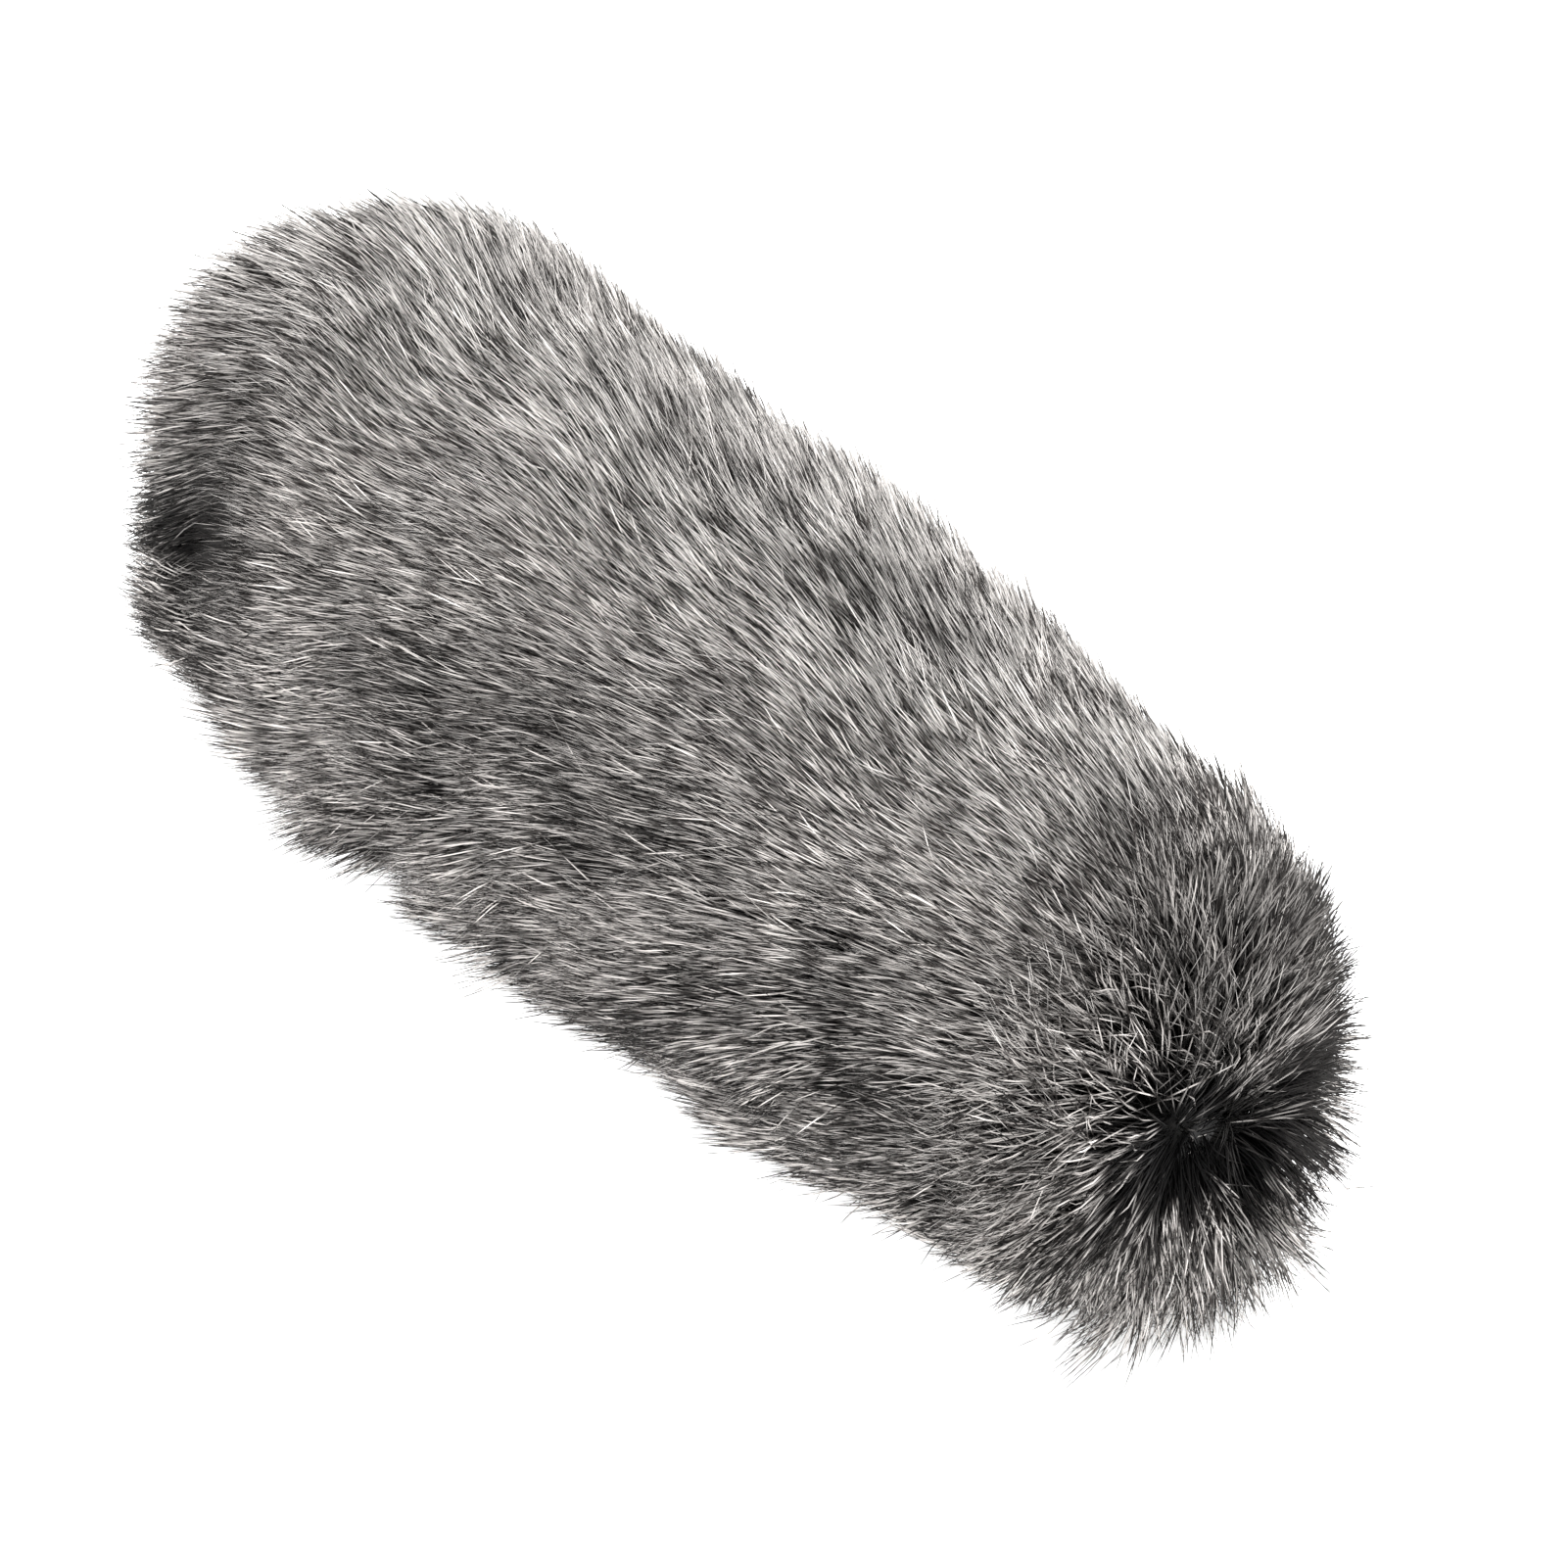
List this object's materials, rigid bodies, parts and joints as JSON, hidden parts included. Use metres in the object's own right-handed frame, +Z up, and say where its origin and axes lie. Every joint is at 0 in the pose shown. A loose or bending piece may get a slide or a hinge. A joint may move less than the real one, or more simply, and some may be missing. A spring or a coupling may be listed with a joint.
{
  "type": "furry microphone windscreen",
  "caption": "Slip-on windscreen for a short shotgun microphone: a foam core with a blind bore and rubber collar, in a pull-off long-pile fur cover with an elastic mouth.",
  "frame": {"origin": "centre of the rubber collar's rear face, on the bore's axis, where the microphone enters", "axes": "+X along the bore towards the nose, +Z up from the flat underside that it rests on"},
  "size_m": [0.218, 0.093, 0.088],
  "materials": {
    "fur": "matte",
    "fur_dark": "matte",
    "lining": "satin",
    "tape": "matte",
    "thread": "satin",
    "elastic": "matte",
    "open_foam": "matte",
    "closed_foam": "matte",
    "scrim": "matte",
    "mesh": "matte",
    "collar_rubber": "satin",
    "plate_plastic": "satin"
  },
  "bodies": {
    "core": {"rear_collar": "collar_rubber", "rear_foam_ring": "closed_foam", "end_plate": "plate_plastic", "bore_liner": "mesh", "foam_barrel": "open_foam", "foam_nose": "open_foam", "nose_pad": "closed_foam", "core_scrim": "scrim"},
    "cover": {"cover_lining": "lining", "fur_sleeve": "fur", "fur_skirt": "fur", "nose_gore_front": "fur", "nose_gore_back": "fur_dark", "sleeve_tape": "tape", "sleeve_stitches": "thread", "skirt_tape": "tape", "skirt_stitches": "thread", "nose_ring_tape": "tape", "nose_ring_stitches": "thread", "nose_arch_tape": "tape", "nose_arch_stitches": "thread", "hem_casing": "tape", "hem_elastic": "elastic", "hem_stitches": "thread"}
  },
  "joints": [
    {"name": "cover_pull_off", "type": "slide", "parent": "core", "child": "cover", "axis": [1, 0, 0], "range_m": [0, 0.22], "deforming": ["fur_skirt", "hem_casing", "hem_elastic", "hem_stitches"]}
  ]
}
